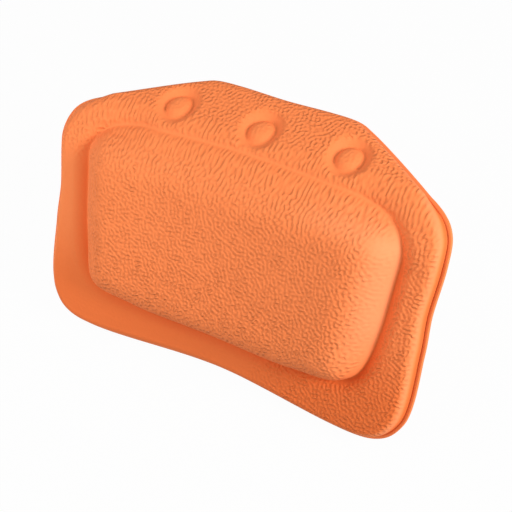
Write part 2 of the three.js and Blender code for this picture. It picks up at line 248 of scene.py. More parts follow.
@dataclass(frozen=True)
class SheetPlan:
    """Flat plan of the pillow, and the map that carries a point of it to its place."""

    width: float = 320 * MM
    side_border: float = 30 * MM
    bottom_border: float = 27 * MM
    cushion_top: float = 65 * MM
    cushion_bottom: float = 84.5 * MM
    cup_rise: float = 15.8 * MM
    flap_margin: float = 41.7 * MM
    cup_spacing: float = 70.5 * MM
    flap_lead: float = 7 * MM
    bend_radius: float = 16 * MM
    bend_angle: float = math.radians(58)
    wing_lift: float = 9.5 * MM
    curl_run: float = 20 * MM
    cup_stand_off: float = 11 * MM
    border_height: float = 13.2 * MM
    outline_shares: tuple[tuple[float, float], ...] = (
        (0, 1), (0.36, 1), (0.45, 0.95), (0.82, 0.64), (0.985, 0.47), (0.992, -0.035),
        (1, -0.28), (0.98, -0.81), (0.853, -1), (0, -0.98),
    )
    foot_shares: tuple[tuple[float, float], ...] = (
        (0, 1), (0.5, 0.98), (0.74, 0.96), (0.915, 0.868), (1, 0.63), (1.004, 0.33), (0.885, -0.755),
        (0.554, -0.88), (0, -0.89),
    )
    foot_corners: tuple[int, ...] = (84, 151, 233, 300)

    @property
    def cup_row(self) -> float:
        """Height of the row of cups on the flat sheet."""
        return self.cushion_top + self.cup_rise

    @property
    def cups(self) -> tuple[float, float, float]:
        """Places of the cups across the sheet."""
        return -self.cup_spacing, 0.0, self.cup_spacing

    @property
    def cup_places(self) -> Array:
        """Places of the cups on the flat sheet, one row of s and t each."""
        return np.array([(cup, self.cup_row) for cup in self.cups])

    @property
    def outline(self) -> Loop:
        """Edge of the sheet."""
        bottom = self.cushion_bottom + self.bottom_border
        return Loop(self.outline_shares, self.width, self.cup_row + self.flap_margin, bottom)

    @property
    def foot(self) -> Loop:
        """Foot line of the cushion, in the groove round it."""
        width = self.width - 2 * self.side_border
        return Loop(self.foot_shares, width, self.cushion_top, self.cushion_bottom)

    def place(self, s: Array, t: Array, h: Array) -> Array:
        """Place of points of the sheet.

        Below the flap the back face turns round the bend radius and then runs straight down the slope. The
        wings lift as the square of the share of the half width, more the further the point is round the bend.
        The height is then laid off along the normal of that face.

        Args:
            s: distance across.
            t: distance up.
            h: height over the back face.

        Returns:
            One row of x, y and z for each point.
        """
        below = self.cup_row - self.flap_lead - t
        arc = self.bend_radius * self.bend_angle
        angle = np.clip(below / self.bend_radius, 0, self.bend_angle)
        past = np.maximum(below - arc, 0)
        curl = self.wing_lift * smooth(below / (arc + self.curl_run))
        reach = s / (self.width / 2)
        tilt = curl * 2 * reach / (self.width / 2)
        normal = np.stack([-tilt * np.cos(self.bend_angle - angle), -np.sin(angle), np.cos(angle)], axis=-1)
        normal /= np.linalg.norm(normal, axis=-1, keepdims=True)
        lift = curl * reach**2
        y = -self.flap_lead - np.minimum(below, 0) - self.bend_radius * np.sin(angle)
        y -= past * math.cos(self.bend_angle) + lift * math.sin(self.bend_angle)
        z = self.cup_stand_off - self.bend_radius * (1 - np.cos(angle))
        z += lift * math.cos(self.bend_angle) - past * math.sin(self.bend_angle)
        return np.stack([s, y, z], axis=-1) + np.asarray(h)[..., None] * normal

    def front_step(self, rise: Array) -> Array:
        """Step along the front over a step up from the cup row along the back, which is shorter in the bend."""
        shrink = self.border_height / (self.bend_radius + self.border_height)
        return np.where(rise < -self.flap_lead, (rise + self.flap_lead * shrink) / (1 - shrink), rise)


@dataclass(frozen=True)
class Bands:
    """Rings of a nested grid from the middle of the cushion to the edge of the sheet.

    The rings run through four bands: the core, the wall and groove on both sides of the foot line, the
    border, and the edge, where they crowd towards the rim.
    """

    plan: SheetPlan
    core: int
    wall: int
    border: int
    edge: int
    inner_run: float = 24 * MM
    groove_run: float = 10 * MM
    edge_run: float = 12.9 * MM
    crowding: float = 1.7
    margin: float = 0.0

    @property
    def rings(self) -> int:
        """Number of rings."""
        return self.core + self.wall + self.border + self.edge

    def radius(self, ring: Array, angle: Array) -> Array:
        """Distance of a ring from the middle of the cushion.

        Each band's ends are a share of the way, or a run from the foot line or from the edge, squared to that
        line by its lean. Between the ends the ring number counts the share evenly, and in the edge band as a
        power of it, so that the rings crowd towards the rim.

        Args:
            ring: number of the ring, 0 in the middle.
            angle: angle from the top.

        Returns:
            The distance for each pair of ring and angle.
        """
        foot, foot_lean = self.plan.foot.radius(angle), self.plan.foot.lean(angle)
        rim_lean = self.plan.outline.lean(angle)
        rim = self.plan.outline.radius(angle) - self.margin / rim_lean
        ends = [
            np.zeros_like(foot),
            foot - self.inner_run / foot_lean,
            foot + self.groove_run / foot_lean,
            rim - (self.edge_run - self.margin) / rim_lean,
            rim,
        ]
        counts = np.cumsum([0, self.core, self.wall, self.border, self.edge])
        share = [(ring - counts[band]) / max(counts[band + 1] - counts[band], 1) for band in range(4)]
        share[3] = 1 - (1 - np.clip(share[3], 0, 1)) ** self.crowding
        spans = [mix(start, end, part) for start, end, part in zip(ends, ends[1:], share)]
        return np.select([ring <= count for count in counts[1:4]], spans[:3], spans[3])


@dataclass(frozen=True)
class NestedGrid:
    """Square grid laid out as nested rings, so that it has no pole.

    Ring k of the square has 8k points. A point at a share of the way round its square lies at the angle at
    which the outline has passed the same share of its own length, on its ring's radius.
    """

    bands: Bands

    def indices(self) -> tuple[Array, Array, Array]:
        """Counts the points off from the middle of the square.

        Returns:
            Column, row and ring number of each point.
        """
        count = self.bands.rings
        steps = np.arange(-count, count + 1)
        column, row = (axis.ravel() for axis in np.meshgrid(steps, steps, indexing="xy"))
        return column, row, np.maximum(abs(column), abs(row))

    def points(self) -> Array:
        """Lays the points out on the flat sheet.

        Returns:
            One row of s and t for each point.
        """
        column, row, ring = self.indices()
        side = np.maximum(ring, 1)
        top, right, bottom = row == ring, column == ring, row == -ring
        passed = np.select(
            [top & (column >= 0), right, bottom, top],
            [column / (8 * side), 0.125 + (side - row) / (8 * side),
             0.375 + (side - column) / (8 * side), 0.875 + (side + column) / (8 * side)],
            0.625 + (side + row) / (8 * side),
        )
        angle = self.bands.plan.outline.angle_at(passed)
        radius = self.bands.radius(ring, angle)
        return np.stack([radius * np.sin(angle), radius * np.cos(angle)], axis=1)

    def faces(self) -> Array:
        """Joins the points to faces, each opened from the corner whose diagonal points to the middle.

        Returns:
            The four corners of each face, one row each.
        """
        width = 2 * self.bands.rings + 1
        start = (np.arange(width - 1)[:, None] * width + np.arange(width - 1)).ravel()
        quads = np.stack([start, start + 1, start + width + 1, start + width], axis=1)
        column, row, _ = self.indices()
        falling = (column[start] + 0.5) * (row[start] + 0.5) < 0
        return np.where(falling[:, None], np.roll(quads, -1, axis=1), quads)

    def rim(self) -> Array:
        """Walks round the outermost ring.

        Returns:
            Numbers of its points in order, clockwise from the top.
        """
        count = self.bands.rings
        width = 2 * count + 1
        run = np.arange(2 * count)
        top = (width - 1) * width + run
        right = (width - 1 - run) * width + width - 1
        bottom = width - 1 - run
        left = run * width
        return np.roll(np.concatenate([top, right, bottom, left]), -count)

    def drilled(self, radius: float) -> tuple[Array, Array]:
        """Cuts a round hole at each cup.

        Faces whose four corners lie in a hole go, and the corners that are left in it are pushed out to its
        edge.

        Args:
            radius: radius of the holes.

        Returns:
            The places of the points, one row each, and the faces that stay.
        """
        points, quads = self.points(), self.faces()
        moved = points.copy()
        inside = np.zeros(len(points), bool)
        for centre in self.bands.plan.cup_places:
            offset = points - centre
            reach = np.linalg.norm(offset, axis=1)
            near = reach < radius
            inside |= near
            moved[near] = centre + offset[near] * (radius / np.maximum(reach[near], TINY))[:, None]
        return moved, quads[~inside[quads].all(axis=1)]


def stitch(quads: Array, offset: int) -> Array:
    """Walls between a face sheet and its copy, along every edge that only one face of the sheet uses.

    Args:
        quads: faces of the sheet.
        offset: number of points between a point and its copy.

    Returns:
        The faces of the walls.
    """
    edges = np.stack([quads, np.roll(quads, -1, axis=1)], axis=2).reshape(-1, 2)
    key = np.sort(edges, axis=1) @ [quads.max() + 1, 1]
    _, place, times = np.unique(key, return_index=True, return_counts=True)
    start, end = edges[place[times == 1]].T
    return np.stack([end, start, start + offset, end + offset], axis=1)


def surface_normals(points: Array, width: int) -> Array:
    """Unit normals of a grid of points: the cross product of its steps along the rows and columns.

    Args:
        points: places, one row each, in grid order.
        width: points in a row of the grid.

    Returns:
        One row for each point.
    """
    grid = points.reshape(width, width, 3)
    normal = np.cross(np.gradient(grid, axis=1), np.gradient(grid, axis=0)).reshape(-1, 3)
    return normal / np.maximum(np.linalg.norm(normal, axis=1, keepdims=True), TINY)


def add_object(name: str, data: bpy.types.ID) -> bpy.types.Object:
    """Makes an object and links it to the scene.

    Args:
        name: name of the object.
        data: mesh, lamp or camera that it shows.

    Returns:
        The object.
    """
    made = bpy.data.objects.new(name, data)
    bpy.context.scene.collection.objects.link(made)
    return made


@dataclass
class Shell:
    """Points and faces of a piece, built up part by part."""

    points: list[Array] = field(default_factory=list)
    quads: list[Array] = field(default_factory=list)
    triangles: list[Array] = field(default_factory=list)
    count: int = 0
    kept: Array | None = None

    @classmethod
    def slab(cls, top: Array, low: Array, quads: Array) -> Shell:
        """Shell of two sheets of points on one set of faces, with walls along every open edge.

        Args:
            top: points of the upper sheet.
            low: points of the lower sheet, in the same order.
            quads: faces of the upper sheet.

        Returns:
            The closed shell.
        """
        shell = cls()
        shell.add(top)
        start = shell.add(low)
        shell.quads += [quads, quads[:, ::-1] + start, stitch(quads, start)]
        return shell

    def add(self, points: Array) -> int:
        """Adds points.

        Args:
            points: places, one row each.

        Returns:
            Number of the first point added.
        """
        start = self.count
        self.points.append(points)
        self.count += len(points)
        return start

    def build(self, name: str) -> bpy.types.Object:
        """Makes the object with smooth faces, drops unused points and links it to the scene.

        Args:
            name: name of the object.

        Returns:
            The object.
        """
        points = np.concatenate(self.points)
        used = np.zeros(len(points), bool)
        for part in (*self.quads, *self.triangles):
            used[part.ravel()] = True
        number = np.cumsum(used) - 1
        faces = [number[part].tolist() for part in (*self.quads, *self.triangles)]
        mesh = bpy.data.meshes.new(name)
        mesh.from_pydata(points[used].tolist(), [], [face for part in faces for face in part])
        mesh.shade_smooth()
        mesh.validate()
        self.kept = used
        return add_object(name, mesh)

    def paint(self, piece: bpy.types.Object, name: str, values: Array) -> None:
        """Stores a value at each kept point of a piece under a name that its material reads.

        Args:
            piece: object made by build.
            name: name of the attribute.
            values: one value for each point that was added.
        """
        layer = piece.data.attributes.new(name, "FLOAT", "POINT")
        layer.data.foreach_set("value", values[self.kept].astype(np.float32))

    def unwrap(self, piece: bpy.types.Object, places: Array) -> None:
        """Gives a piece a UV map of flat coordinates.

        Args:
            piece: object made by build.
            places: flat coordinates of each point that was added.
        """
        corner = np.zeros(len(piece.data.loops), np.int32)
        piece.data.loops.foreach_get("vertex_index", corner)
        layer = piece.data.uv_layers.new(name="flat")
        layer.data.foreach_set("uv", places[self.kept][corner].astype(np.float32).ravel())


@dataclass(frozen=True)
class Survey:
    """Distances that the form is drawn from, at places on the flat sheet.

    Edge counts inwards from the edge of the sheet, foot inwards from the foot line of the cushion and less
    than zero outside it. Depth is the same as foot near the line, and rounds off the ridges further in.
    """

    s: Array
    t: Array
    edge: Array
    foot: Array
    depth: Array

    @classmethod
    def at(cls, plan: SheetPlan, places: Array, free: float = 12 * MM) -> Survey:
        """Measures places.

        Where the two nearest sides of the foot line are about equally far, the depth is the nearer one's less a
        parabola of their difference, whose width grows with the distance past the free depth.

        Args:
            plan: plan of the sheet.
            places: s and t, one row each.
            free: depth up to which the plain distance holds.

        Returns:
            The distances at the places.
        """
        s, t = places.T
        near, second = np.sort(plan.foot.gaps(places, plan.foot_corners), axis=1)[:, :2].T
        inner = np.hypot(s, t) < plan.foot.radius(np.arctan2(s, t))
        room = np.maximum(near - free, TINY)
        overlap = np.maximum(room - (second - near), 0)
        depth = np.where(inner, near - overlap**2 / (4 * room), 0)
        return cls(s, t, plan.outline.gaps(places)[:, 0], np.where(inner, near, -near), depth)

    def outside(self) -> Survey:
        """The same survey, with the cushion's rise left out."""
        return replace(self, foot=np.minimum(self.foot, 0), depth=np.zeros_like(self.depth))


@dataclass(frozen=True)
class FrontForm:
    """Cross-section of the moulded front, as heights over the back face of the sheet.

    A span is the start of a soft step and the run that it takes, which is less than zero where it falls. The
    fades and the low span are shares of the cushion's own reaches, and the flap's counts up from its top.
    """

    plan: SheetPlan
    lip_width: float = 3 * MM
    lip_height: float = 2.5 * MM
    lip_round: float = 0.75 * MM
    lip_middle: float = 1.75 * MM
    lip_face: float = 0.2
    crease_depth: float = 0.7 * MM
    crease_width: float = 0.55 * MM
    roll_run: float = 8.5 * MM
    flap_span: Span = (-10 * MM, 30 * MM)
    top_lip_extra: float = 0.6 * MM
    top_roll_run: float = 12 * MM
    border_crown: float = 0.5 * MM
    groove_run: float = 12 * MM
    groove_depth: float = 4.4 * MM
    groove_power: float = 1.7
    top_groove_run: float = 3.5 * MM
    top_groove_depth: float = 1.1 * MM
    fade_upward: Span = (0.72, 0.2)
    fade_sideward: Span = (0.78, -0.24)
    crown_height: float = 35.5 * MM
    wall_run: float = 36 * MM
    wall_power: float = 2.6
    low_span: Span = (0.35, 0.55)
    low_run: float = 20 * MM
    low_fullness: float = 2.1
    dimple_stretch: float = 1.18
    crater_radius: float = 19 * MM
    crater_power: float = 0.8
    valley_radius: float = 10.2 * MM
    valley_depth: float = 4.9 * MM
    button_sink: float = 0.5 * MM
    button_power: float = 3.0
    sway: float = 0.12 * MM
    sway_across: float = 19 * MM
    sway_along: float = 16 * MM
    sway_phase: float = 1.3
    sway_slant: float = 11 * MM
    slant_lean: float = 1.7
    slant_share: float = 0.6
    sway_run: float = 12 * MM

    def flap(self, t: Array) -> Array:
        """Share of the way up from the cushion's sides to the flap, 1 on the flap."""
        return ramp(t - self.plan.cushion_top, *self.flap_span)

    def past_lip(self, edge: Array, t: Array) -> Array:
        """Distance inwards from the weld at the foot of the lip, which is wider along the flap."""
        return edge - self.lip_width - self.top_lip_extra * self.flap(t)

    def border(self, edge: Array, t: Array) -> Array:
        """Height of the border.

        A level lip with a rounded rim and a narrow dent at its weld, then a quarter round up to the border,
        which is faintly crowned. Lip and round are wider along the flap.

        Args:
            edge: distance inwards from the edge.
            t: distance up.

        Returns:
            Height at each place.
        """
        rim = quarter_round(edge / self.lip_round)
        lip = mix(self.lip_middle, self.lip_height, mix(self.lip_face, 1, rim))
        inner = self.past_lip(edge, t)
        run = mix(self.roll_run, self.top_roll_run, self.flap(t))
        roll = (self.plan.border_height - self.lip_height) * quarter_round(inner / run)
        crown = self.border_crown * ramp(inner, run, self.roll_run)
        return lip - self.crease_depth * bell(inner, self.crease_width) + roll + crown

    def unevenness(self, place: Survey) -> Array:
        """Faint waves of the soft sheet, which die out at the lip.

        The product of a wave across and a wave along, plus a share of a slanting wave.

        Args:
            place: distances at the points.

        Returns:
            Height at each place.
        """
        wave = np.sin(place.s / self.sway_across + self.sway_phase) * np.sin(place.t / self.sway_along)
        wave += self.slant_share * np.sin((place.s + self.slant_lean * place.t) / self.sway_slant)
        return self.sway * wave * ramp(place.edge, self.lip_width, self.sway_run)

    def sheet(self, place: Survey, inset: float = 0.0) -> Array:
        """Height of the front without its dimples.

        The border dips into the groove as a power of the share of its run, and the groove fades along the
        middle of the cushion's top. From the foot line the wall rises to the crown: at the sides and the top as
        one less a power of what is left of a long run, at the bottom as a shorter quarter round.

        Args:
            place: distances at the points.
            inset: depth of the wanted surface below the front, for what lies under the skin.

        Returns:
            Height at each place.
        """
        plan = self.plan
        side = abs(place.s) / (plan.width / 2 - plan.side_border)
        fade = ramp(place.t / plan.cushion_top, *self.fade_upward) * ramp(side, *self.fade_sideward)
        depth = mix(self.groove_depth, self.top_groove_depth, fade)
        run = mix(self.groove_run, self.top_groove_run, fade)
        dip = np.clip(1 + (place.foot - inset) / run, 0, 1) ** self.groove_power
        low = ramp(-place.t / plan.cushion_bottom, *self.low_span)
        share = np.clip((place.depth - inset) / mix(self.wall_run, self.low_run, low), 0, 1)
        wall = mix(1 - (1 - share) ** self.wall_power, quarter_round(share, self.low_fullness), low)
        rise = self.crown_height - plan.border_height - self.border_crown + depth
        height = self.border(place.edge - inset, place.t) - depth * dip + rise * wall
        return height + self.unevenness(place) - inset

    def reach(self, s: Array, t: Array) -> Array:
        """Distance along the front from the middle of the nearest dimple, short along its drawn-out oval."""
        step = self.plan.front_step(t - self.plan.cup_row) / self.dimple_stretch
        return np.min([np.hypot(s - cup, step) for cup in self.plan.cups], axis=0)

    def dimpled(self, rim: Array, reach: Array) -> Array:
        """Height with the dimples pressed in.

        From the valley the slope rises to the height of the sheet, as a soft step of a power of the share of
        its run. The button is a dome, whose top falls to the valley as a power of the share of its radius.

        Args:
            rim: height of the sheet without dimples.
            reach: distance from the middle of the nearest dimple.

        Returns:
            Height at each place.
        """
        top = self.plan.border_height - self.button_sink
        valley = self.plan.border_height - self.valley_depth
        up_slope = np.clip((reach - self.valley_radius) / (self.crater_radius - self.valley_radius), 0, 1)
        crater = mix(valley, rim, smooth(up_slope**self.crater_power))
        button = mix(top, valley, np.clip(reach / self.valley_radius, 0, 1) ** self.button_power)
        pressed = np.where(reach < self.valley_radius, button, crater)
        return np.where(reach < self.crater_radius, pressed, rim)


@dataclass(frozen=True)
class Forming:
    """Marks on the vinyl of the front: where forming leaves its grain and draws it out, and where a highlight
    and shade are painted on.

    A span is the start of a soft step and the run that it takes, which is less than zero where it falls. Those
    named for the top count up from the cushion's top, and that of the slope's outer end from the crater's edge.
    """

    form: FrontForm
    # Grain that is left: below the top, beside the crown, on the walls, at the foot line, on the border and the
    # header, and in the dimples.
    low_top: Span = (-10 * MM, -30 * MM)
    beside_top: Span = (-6 * MM, -16 * MM)
    beside_side: Span = (40 * MM, 30 * MM)
    beside_low: Span = (-72 * MM, 40 * MM)
    beside_loss: float = 0.8
    left_wall: Span = (0.0, 12 * MM)
    right_wall: Span = (3 * MM, 22 * MM)
    foot_inside: Span = (0.0, 2 * MM)
    low_foot_inside: Span = (1 * MM, 4 * MM)
    foot_outside: Span = (0.0, 2 * MM)
    low_foot_outside: Span = (1.5 * MM, 5 * MM)
    cushion_shares: Ends = (0.95, 1.3)
    cushion_fall: Span = (0.0, -50 * MM)
    lip_span: Span = (3.5 * MM, 4 * MM)
    border_right: Span = (15 * MM, 55 * MM)
    border_shares: Ends = (0.12, 1.0)
    border_gain: float = 1.15
    header_top: Span = (-4 * MM, 10 * MM)
    header_shares: Ends = (0.85, 0.95)
    slope_inner: Span = (7 * MM, 2 * MM)
    slope_outer: Span = (-2 * MM, -3 * MM)
    slope_loss: float = 0.9
    button_run: float = -1 * MM
    button_loss: float = 0.7
    # Painted highlight, a paler colour: on the wall of the cushion and on the rounded edge, the most on the
    # right.
    highlight_inner: Span = (-0.5 * MM, 2 * MM)
    highlight_outer: Span = (28 * MM, -24 * MM)
    highlight_top: Span = (0.0, -25 * MM)
    highlight_low: Span = (-70 * MM, 60 * MM)
    highlight_right: Span = (40 * MM, 50 * MM)
    highlight_shares: Ends = (0.15, 0.75)
    roll_inner: Span = (3 * MM, 2 * MM)
    roll_outer: Span = (9 * MM, -4 * MM)
    roll_highlight_share: float = 0.6
    # Painted shade, a deeper colour: in the groove, on the lower border and along the weld.
    shade_top: Span = (-15 * MM, -30 * MM)
    groove_width: float = 7 * MM
    groove_shade_share: float = 0.45
    shade_fall: Span = (-10 * MM, -70 * MM)
    shade_edge: Span = (0.0, 8 * MM)
    lower_shade_share: float = 0.5
    weld_offset: float = 0.2 * MM
    weld_width: float = 0.65 * MM
    weld_shade_share: float = 0.65
    # Grain that is drawn out towards the flap.
    hinge_height: float = 30 * MM
    hinge_width: float = 14 * MM
    hinge_share: float = 0.13

    def over_top(self, t: Array) -> Array:
        """Height over the cushion's top."""
        return t - self.form.plan.cushion_top

    def grain(self, place: Survey, reach: Array) -> Array:
        """Share of the embossed grain that is left, from 0 where the sheet is stretched smooth.

        Args:
            place: distances at the points.
            reach: distance from the middle of the nearest dimple.

        Returns:
            One value for each point.
        """
        s, t, over = place.s, place.t, self.over_top(place.t)
        low = ramp(over, *self.low_top)
        beside = ramp(over, *self.beside_top) * ramp(abs(s), *self.beside_side) * ramp(t, *self.beside_low)
        wall = ramp(place.foot, *between(self.left_wall, self.right_wall, s > 0))
        cushion = ramp(place.foot, *between(self.foot_inside, self.low_foot_inside, low))
        cushion *= 1 - self.beside_loss * beside * (1 - wall)
        cushion *= mix(*self.cushion_shares, ramp(t, *self.cushion_fall))
        border = ramp(place.edge, *self.lip_span)
        border *= ramp(-place.foot, *between(self.foot_outside, self.low_foot_outside, low))
        border *= mix(1, self.border_gain * mix(*self.border_shares, ramp(s, *self.border_right)), low)
        border *= mix(*self.header_shares, ramp(over, *self.header_top))
        slope = ramp(reach, *self.slope_inner) * ramp(reach - self.form.crater_radius, *self.slope_outer)
        button = ramp(reach, self.form.valley_radius, self.button_run)
        smoothed = (1 - self.slope_loss * slope) * (1 - self.button_loss * button)
        return np.where(place.foot > 0, cushion, border) * smoothed

    def highlight_and_shade(self, place: Survey) -> Array:
        """Painted highlight and shade: above zero where the vinyl is painted paler as a highlight, the most on
        the cushion's right wall.

        Below zero where shade is painted in a deeper colour instead: in the groove, along the weld and on the
        lower border.

        Args:
            place: distances at the points.

        Returns:
            One value for each point.
        """
        s, t, over = place.s, place.t, self.over_top(place.t)
        # Painted highlight, strongest on the right, the side that faces the light.
        share = mix(*self.highlight_shares, ramp(s, *self.highlight_right))
        wall = ramp(place.foot, *self.highlight_inner) * ramp(place.depth, *self.highlight_outer)
        wall *= share * ramp(over, *self.highlight_top) * ramp(t, *self.highlight_low)
        # Painted highlight along the rounded edge of the border.
        roll = ramp(place.edge, *self.roll_inner) * ramp(place.edge, *self.roll_outer)
        # Painted shade in the groove, then on the lower border, then along the weld.
        pressed = self.groove_shade_share * ramp(over, *self.shade_top) * bell(place.foot, self.groove_width)
        lower = self.lower_shade_share * ramp(t, *self.shade_fall) * ramp(place.edge, *self.shade_edge)
        pressed += lower * (1 - pressed)
        border = self.roll_highlight_share * roll * share - pressed * (1 - roll)
        weld = self.weld_shade_share * bell(self.form.past_lip(place.edge, t) - self.weld_offset, self.weld_width)
        return np.where(place.foot > 0, wall, border * (1 - weld) - weld)

    def grain_places(self, places: Array) -> Array:
        """Flat coordinates that the grain is drawn on.

        Past the middle of the cushion the grain is drawn out towards the flap: the height loses a share of a
        soft hinge, which is half the sum of the rise past it and the root of that rise squared plus a width
        squared.

        Args:
            places: s and t, one row each.

        Returns:
            The coordinates, one row each.
        """
        s, t = places.T
        rise = t - self.hinge_height
        hinge = (rise + np.hypot(rise, self.hinge_width)) / 2
        return np.stack([s, t - self.hinge_share * hinge], axis=1)


class Shade:
    """Small helper that places and links nodes in one tree."""

    def __init__(self, tree: bpy.types.NodeTree) -> None:
        """Keeps the tree."""
        self.tree = tree

    def node(self, kind: str, **values: object) -> bpy.types.Node:
        """Adds a node of a kind and sets its own properties.

        Args:
            kind: type of the node.
            values: value of each property by its name.

        Returns:
            The node.
        """
        made = self.tree.nodes.new(kind)
        for name, value in values.items():
            setattr(made, name, value)
        return made

    def feed(self, socket: bpy.types.NodeSocket, source: object) -> None:
        """Links a socket to an output, or sets its value.

        Args:
            socket: input to feed.
            source: output or value.
        """
        if isinstance(source, bpy.types.NodeSocket):
            self.tree.links.new(source, socket)
        else:
            socket.default_value = source

    def filled(self, kind: str, inputs: dict[str | int, object], **values: object) -> bpy.types.Node:
        """Adds a node with its inputs fed.

        Args:
            kind: type of the node.
            inputs: output or value for each input, by its name or number.
            values: value of each property by its name.

        Returns:
            The node.
        """
        made = self.node(kind, **values)
        for key, source in inputs.items():
            self.feed(made.inputs[key], source)
        return made

    def math(self, operation: str, *values: object, clamp: bool = False) -> bpy.types.NodeSocket:
        """Result of a Math node on values or outputs, held between 0 and 1 if clamp is set."""
        inputs = dict(enumerate(values))
        return self.filled("ShaderNodeMath", inputs, operation=operation, use_clamp=clamp).outputs[0]

    def blend(self, share: object, low: object, high: object) -> bpy.types.NodeSocket:
        """Colour between two colours."""
        inputs = {"Factor": share, 6: low, 7: high}
        return self.filled("ShaderNodeMix", inputs, data_type="RGBA").outputs[2]

    def spread(self, share: object, ends: Ends) -> bpy.types.NodeSocket:
        """Value that a share carries from the lower end to the higher."""
        return self.math("MULTIPLY_ADD", share, ends[1] - ends[0], ends[0])

    def soft_step(self, value: object, low: object, high: object) -> bpy.types.NodeSocket:
        """Soft step of a value from 0 at low to 1 at high."""
        inputs = {"Value": value, "From Min": low, "From Max": high}
        return self.filled("ShaderNodeMapRange", inputs, interpolation_type="SMOOTHSTEP").outputs[0]

    def noise(
        self, vector: bpy.types.NodeSocket, scale: float, detail: float = 2.0, output: str = "Fac"
    ) -> bpy.types.NodeSocket:
        """Output of a Noise node at a scale per metre."""
        inputs = {"Vector": vector, "Scale": scale, "Detail": detail}
        return self.filled("ShaderNodeTexNoise", inputs).outputs[output]

    def flat(self) -> bpy.types.NodeSocket:
        """Flat coordinates of the piece, from its UV map."""
        return self.node("ShaderNodeUVMap", uv_map="flat").outputs[0]

    def own(self) -> bpy.types.NodeSocket:
        """Object coordinates."""
        return self.node("ShaderNodeTexCoord").outputs["Object"]

    def painted(self, name: str) -> bpy.types.NodeSocket:
        """Value that the piece stores under a name."""
        return self.node("ShaderNodeAttribute", attribute_name=name).outputs["Fac"]

    def any_ray(self, first: str, *others: str) -> bpy.types.NodeSocket:
        """1 on a ray of any of the kinds named by the Light Path node, else 0.

        Args:
            first: one kind.
            others: the other kinds.

        Returns:
            The output.
        """
        path = self.node("ShaderNodeLightPath").outputs
        found = path[first]
        for kind in others:
            found = self.math("MAXIMUM", found, path[kind])
        return found

    def coat(
        self, shader: bpy.types.Node, colour: object, roughness: object, height: object, depth: float
    ) -> None:
        """Feeds a shader its colour, its roughness and its relief.

        Args:
            shader: the Principled BSDF.
            colour: colour over the surface.
            roughness: roughness over the surface, or one value.
            height: height of the relief, 0 to 1.
            depth: depth that this height stands for.
        """
        self.feed(shader.inputs["Base Color"], colour)
        self.feed(shader.inputs["Roughness"], roughness)
        bump = self.filled("ShaderNodeBump", {"Strength": 1.0, "Distance": depth, "Height": height})
        self.feed(shader.inputs["Normal"], bump.outputs[0])


def new_group(name: str, inputs: tuple[tuple[str, str], ...], outputs: tuple[str, ...]) -> Shade:
    """Makes an empty shader node group.

    Args:
        name: name of the group.
        inputs: name and socket type of each input.
        outputs: names of the value outputs.

    Returns:
        A helper on the group's tree, with its input and output nodes as nodes[0] and nodes[1].
    """
    tree = bpy.data.node_groups.new(name, "ShaderNodeTree")
    for label, kind in inputs:
        tree.interface.new_socket(name=label, in_out="INPUT", socket_type=kind)
    for label in outputs:
        tree.interface.new_socket(name=label, in_out="OUTPUT", socket_type="NodeSocketFloat")
    shade = Shade(tree)
    shade.node("NodeGroupInput")
    shade.node("NodeGroupOutput")
    return shade


@dataclass(frozen=True)
class Grain:
    """Embossed grain of short wavy ridges that run up and across.

    Two banded noises of one pitch, one across the other, are added on coordinates that a slower noise shifts. A
    soft step on each side of their mean gives ridges and valleys of even height.
    """

    shift: float = 1.7 * MM
    shift_scale: float = 240.0
    patch_scale: float = 0.5
    waves: float = 2.0
    alignment: float = 0.55
    turns: tuple[float, float] = (0.0, math.pi / 2)
    pore_scale: float = 2600.0

    def group(self) -> bpy.types.NodeTree:
        """Builds the group on a vector, a pitch and a softness.

        Returns:
            The group, whose outputs are the relief of the ridges and that of the pores.
        """
        shade = new_group(
            "vinyl_grain",
            (("Vector", "NodeSocketVector"), ("Pitch", "NodeSocketFloat"), ("Softness", "NodeSocketFloat")),
            ("Relief", "Pores"),
        )
        source, result = shade.tree.nodes[0].outputs, shade.tree.nodes[1].inputs
        wander = shade.noise(source["Vector"], self.shift_scale, 1.0, "Color")
        size = (self.shift, self.shift, 0)
        shifted = shade.filled(
            "ShaderNodeVectorMath", {0: wander, 1: size, 2: source["Vector"]}, operation="MULTIPLY_ADD"
        )
        inputs = {0: shifted.outputs[0], "Scale": shade.math("DIVIDE", 1.0, source["Pitch"])}
        scaled = shade.filled("ShaderNodeVectorMath", inputs, operation="SCALE")
        banded = [
            shade.filled(
                "ShaderNodeTexGabor",
                {
                    "Vector": scaled.outputs[0], "Scale": self.patch_scale, "Frequency": self.waves,
                    "Anisotropy": self.alignment, "Orientation": turn,
                },
                gabor_type="2D",
            ).outputs["Value"]
            for turn in self.turns
        ]
        low, high = (shade.math(sign, 1.0, source["Softness"]) for sign in ("SUBTRACT", "ADD"))
        shade.feed(result["Relief"], shade.soft_step(shade.math("ADD", *banded), low, high))
        shade.feed(result["Pores"], shade.noise(source["Vector"], self.pore_scale))
        return shade.tree


def new_material(name: str) -> tuple[bpy.types.Material, Shade, bpy.types.Node]:
    """Makes a material with an empty Principled BSDF.

    Args:
        name: name of the material.

    Returns:
        The material, a helper on its tree, and the shader.
    """
    material = bpy.data.materials.new(name)
    material.use_nodes = True
    return material, Shade(material.node_tree), material.node_tree.nodes["Principled BSDF"]


def srgb(text: str) -> tuple[float, float, float, float]:
    """Linear colour of a screen colour.

    Args:
        text: the screen colour, as a hash sign and six hexadecimal digits.

    Returns:
        Red, green, blue and alpha.
    """
    parts = np.array([int(text[place : place + 2], 16) / 255 for place in (1, 3, 5)])
    linear = np.where(parts <= 0.04045, parts / 12.92, ((parts + 0.055) / 1.055) ** 2.4)
    return (*linear.tolist(), 1.0)


